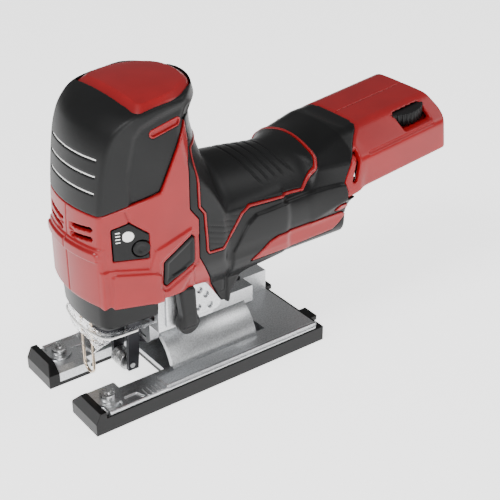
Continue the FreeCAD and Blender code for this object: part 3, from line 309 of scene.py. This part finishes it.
def body_form(x, y, z):
    """Head, neck, barrel and battery housing run together."""
    upright = head(x, y, z)
    base = outline(x, z, [(-90, 66.5), (-18, 65.6), (1.5, 61.3), (12, 50), (60, 50), (60, 230), (-90, 230)])
    low = np.abs(y) - (26.3 + np.maximum(z - 57, 0) * 0.45 + np.maximum(-12 - x, 0) * 0.6)
    upright = most(upright, base, low, r=1.5)
    lying = least(barrel(x, y, z), tail(x, y, z), r=12)
    return least(least(upright, neck(x, y, z), r=2), lying, r=5)


def relief(x, y, z):
    """How far the red surface stands out (+) or in (-): front ridge, vents, creases and lower block."""
    a = np.abs(y)
    facing = ramp(-x, 56, 60)
    ridge = 1.5 * ramp(-run(a, z, [(0, 94.4), (22.5, 94.4)]), -3.4, -2.2) * facing
    chin = 0.9 * ramp(-z, -99.5, -98.5) * facing
    vent = np.full(np.shape(x), 1e9, np.float32)
    for low in (101.4, 106.6):
        vent = np.minimum(vent, run(a, z, [(5, low), (19.5, low + 2)]))
    cuts = 2.6 * ramp(-vent, -1.2, -0.9) * facing
    upper = outline(x, z, [(-52.4, 86.2), (-35.7, 84), (-32.8, 94.1), (-10.9, 100.3), (-10.9, 84),
                           (-8, 60), (-60, 60), (-60, 86.2)])
    lower = outline(x, z, [(-54.9, 60), (-54.9, 82.7), (-53, 83.9), (-33, 81.4), (-30, 79), (-29, 60)])
    sideways = ramp(a, 20, 24)
    steps = (1.0 * ramp(-upper, -0.5, 0.5) + 1.1 * ramp(-lower, -0.5, 0.5)) * sideways
    crease = 0.8 * ramp(-run(x, z, [(-45.8, 117.8), (-44.3, 113.4), (-44.4, 111.2)]), -1.2, 0) * sideways
    pocket = 0.9 * ramp(-outline(x, z, PUSH_PAD), -3.2, -2.2) * sideways
    return ridge + chin - cuts + steps - crease - pocket


def red_head(side):
    """One half of the head's red shell."""
    def field(x, y, z):
        form = body_form(x, y, z)
        skin = form - relief(x, y, z)
        shell = most(skin, -(form + 2.6), r=0.8)
        trim = most(shell, GAP - outline(x, z, GRIP_EDGE), GAP - outline(x, z, RED_REAR), r=0.7)
        cuts = [outline(x, z, PUSH_PAD) - 0.45]
        if side < 0:
            cuts.append(outline(x, z, LAMP_PANEL) - 0.2)
        holes = most(least(*cuts), 20 - np.abs(y))
        return most(trim, -holes, 0.1 - side * y, r=0.7)
    return field


def tail_edge(x, z):
    """How far x lies past the joint between the black flare and the battery housing."""
    return x - np.interp(z, (90.4, 95.8, 108, 115, 119.3, 123.5), (93.1, 91.5, 96, 103, 109, 115))


def red_tail(side):
    """One half of the battery housing: bevelled block, open below, with the dial's slot on the left."""
    def field(x, y, z):
        u, w = local(x, z)
        form = body_form(x, y, z)
        a = np.abs(y)
        edge = tail_edge(x, z)
        step = 0.7 * ramp(-run(u, w, [(16, 18.6), (64, 18.6)]), -0.9, 0) * ramp(a, 30, 33)
        skin = form + step
        bay = box(u, y, w, (4, -34, -9), (90, 34, 15.8))
        shell = most(skin, -most(form + 3, least(slab(w, -60, 16), slab(w, 18.5, 60))), r=0.7)
        slot = most(run(u, w, [(3.2, 6.3), (9.2, 25.3)]) - 1.3, 30 - a)
        cuts = [bay, slot]
        if side < 0:
            cuts.append(box(u, y, w, (44.5, -60, 20), (65.5, -14, 28), r=1.5))
        shell = most(shell, -least(*cuts), r=0.5)
        return most(shell, GAP - edge, 0.1 - side * y, r=0.8)
    return field


def grip_field(x, y, z):
    """Rubber over the top of the head: recessed cheeks, three grooves in front, and a place for the insert."""
    form = body_form(x, y, z)
    a = np.abs(y)
    cheek = 1.5 * ramp(-outline(x, z, SHOULDER), -1.5, 2.5) * ramp(a, 22, 27)
    slot = most(run(x, z, CHEEK_SLOT) - 1.9, 20 - a)
    groove = np.full(np.shape(x), 1e9, np.float32)
    for low in GROOVES:
        groove = np.minimum(groove, np.hypot(z - low, np.maximum(a - 21, 0)))
    grooves = 0.7 * ramp(-groove, -0.9, -0.3) * ramp(-x, 40, 45)
    skin = form + cheek + grooves + 1.0 * ramp(-slot, -0.4, 0.2)
    shell = most(skin, -(form + 3.4), r=0.6)
    shell = most(shell, outline(x, z, GRIP_EDGE) + GAP, r=0.7)
    return most(shell, -most(insert_plan(x, a) - 0.25, 164.5 - z), r=0.5)


def insert_plan(x, a):
    """Plan of the top insert: straight in front, rounded behind."""
    return most(-38 + 0.001 * a * a - x, a - 30, (a - 30) * 0.8 + (x + 14) * 0.6, x - 6 + 0.012 * a * a, r=4)


def cheek_field(x, y, z):
    """Red lining of the slanted slot in each cheek."""
    ring = run(x, z, CHEEK_SLOT) - 1.9
    form = body_form(x, y, z) + 1.5
    rim = most(form - 0.25, -(form + 1.4), np.abs(ring + 0.1) - 0.45, r=0.3)
    return most(least(rim, most(form + 0.9, -(form + 1.6), ring)), 20 - np.abs(y))


def insert_field(x, y, z):
    """The glossy insert let into the top, bevelled round its edge."""
    form = body_form(x, y, z)
    a = np.abs(y)
    inset = insert_plan(x, a)
    bevel = form + np.maximum(inset + 4, 0) * 0.55
    return most(bevel - 0.6, inset, -(form + 3.2), 164.7 - z, r=0.35)


def inlay_field(x, y, z):
    """Pale inlays in the three grooves across the front."""
    form = body_form(x, y, z)
    lines = [np.hypot(z - low, np.maximum(np.abs(y) - 21, 0)) for low in GROOVES]
    return most(form + 0.35, -(form + 1.2), least(*lines) - 0.38, x + 45, r=0.2)


def cover_field(x, y, z):
    """Black frame round the barrel pad, the neck and the flare to the battery housing."""
    form = body_form(x, y, z) + 0.25
    a = np.abs(y)
    brim = outline(x, z, [(16, 76), (22, 86), (25, 90.2), (31.2, 94.2), (88.4, 96.2), (99, 95), (120, 94),
                          (120, 30), (16, 30)])
    skin = form - 1.3 * ramp(-brim, -0.2, 1.0) * ramp(a, 18, 24)
    shell = most(skin, -(form + 2.4), r=0.6)
    strip = least(outline(x, z, BELLY), outline(x, z, CATCH)) - GAP
    shell = most(shell, outline(x, z, RED_REAR) + GAP, 0.7 - outline(x, z, PAD_EDGE), r=0.6)
    return most(shell, np.where(z > 86, tail_edge(x, z) + GAP, -1.0), -most(strip, 15 - a), r=0.5)


def pad_field(x, y, z):
    """Soft pad over the barrel, with shallow arcs on top and fine diagonal lines low on the sides."""
    form = body_form(x, y, z) + 0.1
    a = np.abs(y)
    arcs = np.full(np.shape(x), 1e9, np.float32)
    for at in (33, 39, 45, 51, 57):
        arcs = np.minimum(arcs, np.abs(x - at - 0.012 * y * y))
    grooves = 0.55 * ramp(-arcs, -1.0, -0.1) * ramp(z, 104, 110)
    lines = 0.3 * ramp(-np.abs(np.mod(x * 0.35 + z, 3.2) - 1.6), -0.45, 0) * ramp(-z, -100,
                                                                                  -96) * ramp(a, 18, 22)
    shell = most(form + grooves + lines, -(form + 2.4), r=0.5)
    return most(shell, outline(x, z, PAD_EDGE) + 0.75, r=0.8)


def piping_field(x, y, z):
    """Thin red bead round the pad."""
    form = body_form(x, y, z)
    return most(form - 0.35, -(form + 1.6), np.abs(outline(x, z, PAD_EDGE)) - 0.6, r=0.6)


def belly_field(x, y, z):
    """Red strip low on each side of the barrel."""
    form = body_form(x, y, z)
    marks = least(outline(x, z, BELLY) + 0.1, outline(x, z, CATCH))
    return most(form - 1.7, -(form + 1.6), marks, 15 - np.abs(y), r=0.7)


def push_pad(side):
    """A power pad with a raised bar."""
    def field(x, y, z):
        form = body_form(x, y, z)
        bar = 0.5 * ramp(-run(x, z, [(-23, 75.4), (-15.5, 77.4)]), -1.3, -0.8)
        dish = 0.4 * ramp(-outline(x, z, PUSH_PAD), 1.4, 3.0)
        return most(form - 0.1 - bar + dish, -(form + 5), outline(x, z, PUSH_PAD), 20 - side * y, r=0.7)
    return field


def panel_field(x, y, z):
    """The lamp's switch panel."""
    form = body_form(x, y, z)
    rim = np.hypot(x - BUTTON[0], z - BUTTON[1])
    return most(form - 0.15, -(form + 1.5), outline(x, z, LAMP_PANEL) + 0.15, y + 20, 4.75 - rim, r=0.4)


def button_field(x, y, z):
    """The lamp's push button."""
    form = body_form(x, y, z)
    rim = np.hypot(x - BUTTON[0], z - BUTTON[1])
    return most(form - 0.5 + 0.5 * ramp(-rim, -3, -1), -(form + 5), rim - 4.3, y + 20, r=0.6)


def icon_field(x, y, z):
    """A headlamp mark: a lens and four short beams."""
    form = body_form(x, y, z)
    lens = most(np.hypot(x + 45.6, (z - 104.2)) - 2.9, -48.2 - x, r=0.2)
    beams = np.full(np.shape(x), 1e9, np.float32)
    for at in (107.0, 105.2, 103.4, 101.6):
        beams = np.minimum(beams, run(x, z, [(-51.4, at), (-49.6, at)]) - 0.32)
    return most(form - 0.32, -(form + 0.3), least(lens, beams), y + 20)


def foot_plan(x, a, inset):
    """Plan of the foot collar and the guard under it."""
    return most(-63.2 + 0.0078 * a * a - x, past(x, a, (-58.5, 24), (-40, 27.5)), a - 27.5, r=4) + inset


def collar_field(x, y, z):
    """Smooth black collar under the head, drawn in towards its lower edge."""
    a = np.abs(y)
    inset = 0.9 + 0.06 * (66 - z) + 1.5 * ramp(-z, -51, -47)
    outer = foot_plan(x, a, inset)
    low = z - 47.2 - 0.05 * (x + 60)
    ring = most(outer, -(outer + 3.2), -low, z - 66.4, x + 24.5, r=1.2)
    return most(ring, -most(18.5 - a, x + 24.5, -27.5 - x, 48 - z))


def guard_field(x, y, z):
    """Clear chip guard: a thin curved wall with a thicker upper rim and ribs."""
    a = np.abs(y)
    inset = 2.4 + 0.1 * (50 - z)
    rim = 0.8 * ramp(-np.abs(z - 43.5), -1.4, -0.6)
    outer = foot_plan(x, a, inset)
    low = np.maximum(26 + 8 * ramp(x, -56, -44), 20.2 + a)
    wall = most(outer - rim, -(outer + 1.3), low - z, z - 46.5, x + 27.5, r=0.6)
    uprights = least(np.abs(x + 44) - 0.6, np.abs(x + 34) - 0.6)
    rib = most(outer, -(outer + 3), uprights, low - z, z - 44, 15 - a)
    shelf = most(outer - 0.9, -(outer + 2.2), np.abs(z - 37.5 - 0.1 * (x + 60)) - 0.6, low - z, x + 30)
    return least(wall, rib, shelf, r=0.5)


def guard_painted_highlight(x, y, z):
    """Painted highlight: a white band along the upper edge of the clear guard, lowest in front, where the
    clear edge catches the light.
    """
    a = np.abs(y)
    at = foot_plan(x, a, 1.9)
    return most(np.hypot(at, z - 43.2 - 0.06 * (x + 60)) - 0.55, x + 40)


def lever_field(x, y, z):
    """The pendulum lever: a round hub and a thick upright handle."""
    hub = most(np.hypot(x + 11.5, z - 40.8) - 6.6, slab(y, -31.4, -25.6), r=1.6)
    handle = most(outline(x, z, [(-15.8, 40), (-18.2, 62), (-16.8, 65.4), (-9.4, 64), (-8.2, 62),
                                 (-7.4, 40)]),
                  slab(y, -33.2, -26.4), r=1.6)
    return least(hub, handle, r=2.5)


def side_plate(side):
    """Bright plate beside the lever, with four holes."""
    def field(x, y, z):
        shape = outline(x, z, [(-22.5, 39.4), (-22.5, 60.5), (-17, 64.5), (-1, 62.5), (3.5, 59), (13, 44),
                               (12.8, 41.4), (10, 39.4)])
        centres = ((-1, 55), (3.2, 51), (5.8, 43.6), (-2, 44.5))
        holes = least(*(np.hypot(x - at, z - up) - 1.7 for at, up in centres))
        return most(shape, side * y - 25.4, 23.9 - side * y, -holes, r=0.6)
    return field


def base_trim(side):
    """Raised side rail of the base, with a scale and two recessed panels in front."""
    def field(x, y, z):
        a = side * y
        rail = outline(x, a, [(-31, 26.5), (-31, 38.2), (71, 38.2), (73.5, 35), (68, 34.4), (24, 34.4),
                              (20, 26.5)])
        rail = most(rail, z - 12.1, 8 - z, past(-a, z, (-38.2, 10.4), (-36.6, 12)), r=0.5)
        step = most(outline(x, a, [(-67, 29.5), (-67, 38.2), (-31, 38.2), (-31, 31), (-38, 26.5), (-47,
                                                                                                   26.5)]),
                    z - 11.4, 8 - z, r=0.6)
        dents = most(outline(x, a, [(-66, 32.2), (-57, 32.5), (-58.5, 36.6), (-67, 36.6)]) + 0.4, 10.4 - z)
        rear_dent = outline(x, a, [(-55, 31), (-47, 31), (-44.5, 36.8), (-56, 36.8)]) + 0.4
        dents = least(dents, most(rear_dent, 10.4 - z))
        ticks = least(*(most(np.abs(x - at) - 0.35, slab(a, 31, 37.6), z - 11.9, 10 - z)
                        for at in (-43, -40.2, -37.4, -34.6)))
        return least(rail, most(step, -dents, r=0.4), ticks)
    return field


def half(side, inner, outer):
    """The two ends in y of a range given outwards from the middle plane."""
    return sorted((side * inner, side * outer))


for label, side in (("left", -1), ("right", 1)):
    low, high = sorted((0, side * 38))
    near, far = half(side, 23, 27)
    carve(f"side_plate_{label}", side_plate(side), (-24, near, 33), (15, far, 66), 0.3,
          "tool", "cast_aluminium")
    near, far = half(side, 25, 39.5)
    carve(f"base_rail_{label}", base_trim(side), (-68, near, 7), (75, far, 15), 0.4,
          "base", "cast_aluminium")
    carve(f"head_shell_{label}", red_head(side), (-67, low - 1, 40), (16, high + 1, 160), 0.5,
          "tool", "red_plastic", f"housing_{label}")
    carve(f"tail_shell_{label}", red_tail(side), (88, low - 1, 84), (175, high + 1, 132), 0.5,
          "tool", "red_plastic", f"housing_{label}")
    near, far = half(side, 26, 36)
    carve(f"power_pad_{label}", push_pad(side), (-30, near, 69), (-7, far, 98), 0.35,
          f"power_{label}", "black_plastic", f"power_button_{label}")

# name, field, lowest and highest corner, step, body, slot and the nodes it stands for
for row in (
    ("head_rubber", grip_field, (-66, -36, 113), (14, 36, 176), 0.5, "tool", "soft_grip", "head_grip"),
    ("grip_inlays", inlay_field, (-66, -23, 126), (-54, 23, 147), 0.25, "tool", "lamp_white"),
    ("cheek_slots", cheek_field, (-34, -36, 151), (-11, 36, 163), 0.3, "tool", "red_plastic"),
    ("crown_insert", insert_field, (-41, -33, 160), (9, 33, 176), 0.45, "tool", "red_plastic", "top_insert"),
    ("barrel_frame", cover_field, (-14, -39, 40), (120, 39, 160), 0.55, "tool", "black_plastic",
     "barrel_cover"),
    ("barrel_pad", pad_field, (-8, -37, 78), (81, 37, 143), 0.5, "tool", "soft_grip", "barrel_grip"),
    ("barrel_piping", piping_field, (-9, -37, 78), (82, 37, 143), 0.35, "tool", "red_plastic"),
    ("belly_stripe", belly_field, (26, -36, 60), (98, 36, 85), 0.4, "tool", "red_plastic", "belly_strip"),
    ("lamp_panel", panel_field, (-56, -36, 87), (-32, -20, 114), 0.3, "tool", "black_plastic",
     "light_panel"),
    ("lamp_button", button_field, (-45, -36, 90), (-34, -24, 103), 0.3, "light", "black_plastic",
     "light_button"),
    ("collar_ring", collar_field, (-64, -30, 46), (-22, 30, 68), 0.4, "tool", "black_plastic",
     "foot_collar"),
    ("clear_guard", guard_field, (-64, -28, 24), (-25, 28, 53), 0.4, "tool", "clear_plastic", "chip_guard"),
    ("guide_lever", lever_field, (-20, -35, 33), (-3, -23, 67), 0.35, "lever", "black_plastic",
     "pendulum_lever"),
    ("lamp_icon", icon_field, (-53, -34, 99), (-41, -24, 109), 0.16, "tool", "lamp_white"),
):
    carve(*row)
# The clear guard's upper edge gets a white band, a painted highlight for the glint of light on the clear rim,
# not a white part.
painted_highlight_band = carve("guard_painted_highlight", guard_painted_highlight, (-64, -28, 40), (-38, 28, 47), 0.25, "tool", "clear_plastic")
painted_highlight_band.data.materials[0] = FINISH["lamp_white"]


# ------------------------------------------------------------------ floor, light and camera

def floor(name):
    """A wide pale flat floor."""
    rows = 24
    side = 8
    points, faces = [], []
    for i in range(rows + 1):
        for j in range(rows + 1):
            points.append((side * i / rows - side / 2, side * j / rows - side / 2, 0.0))
    for i in range(rows):
        for j in range(rows):
            k = i * (rows + 1) + j
            faces.append((k, k + rows + 1, k + rows + 2, k + 1))
    mesh = bpy.data.meshes.new(name)
    mesh.from_pydata(points, [], faces)
    made = bpy.data.objects.new(name, mesh)
    bpy.context.scene.collection.objects.link(made)
    mesh.materials.append(finish("paper", (0.88, 0.88, 0.88), 0.7, grain=0.5, bump=0.02, shade=0.005,
                                 Emission_Color=(1, 1, 1, 1), Emission_Strength=1.9))


def light(name, place, target, size, power):
    """A square soft light that faces a point."""
    data = bpy.data.lights.new(name, "AREA")
    data.size = size
    data.energy = power
    made = bpy.data.objects.new(name, data)
    made.location = place
    way = np.array(target) - np.array(place)
    lean = math.acos(-way[2] / np.linalg.norm(way))
    made.rotation_euler = (lean, 0, math.atan2(way[1], way[0]) - math.pi / 2)
    bpy.context.scene.collection.objects.link(made)


floor("floor")
light("key", (-0.8, -0.1, 1.1), (0.03, 0, 0.06), 0.45, 11)
light("fill", (-0.5, -1.2, 0.6), (0.03, 0, 0.08), 0.6, 13)
light("rim", (0.9, -0.5, 1.0), (0.05, 0, 0.1), 0.6, 5)
world = bpy.data.worlds.new("studio")
world.use_nodes = True
sky = world.node_tree.nodes.new("ShaderNodeTexGradient")
way = world.node_tree.nodes.new("ShaderNodeTexCoord")
turn = world.node_tree.nodes.new("ShaderNodeMapping")
turn.inputs["Rotation"].default_value = (0, math.radians(90), 0)
shades = world.node_tree.nodes.new("ShaderNodeValToRGB")
shades.color_ramp.elements[0].color = (0.45, 0.45, 0.45, 1)
shades.color_ramp.elements[1].color = (1.1, 1.1, 1.1, 1)
shades.color_ramp.elements[1].position = 0.8
world.node_tree.links.new(way.outputs["Generated"], turn.inputs["Vector"])
world.node_tree.links.new(turn.outputs["Vector"], sky.inputs["Vector"])
world.node_tree.links.new(sky.outputs["Fac"], shades.inputs["Fac"])
world.node_tree.links.new(shades.outputs["Color"], world.node_tree.nodes["Background"].inputs["Color"])
world.node_tree.nodes["Background"].inputs["Strength"].default_value = 0.35
bpy.context.scene.world = world

LENS = 81.5            # focal length in mm
LOOK_DOWN = 29.3       # degrees below level
LOOK_ASIDE = 36.7      # degrees from the +Y direction towards +X
lens = bpy.data.cameras.new("camera")
lens.lens = LENS
camera = bpy.data.objects.new("camera", lens)
camera.location = (-0.2901, -0.4584, 0.3717)
camera.rotation_euler = (math.radians(90 - LOOK_DOWN), 0, math.radians(-LOOK_ASIDE))
bpy.context.scene.collection.objects.link(camera)
bpy.context.scene.camera = camera
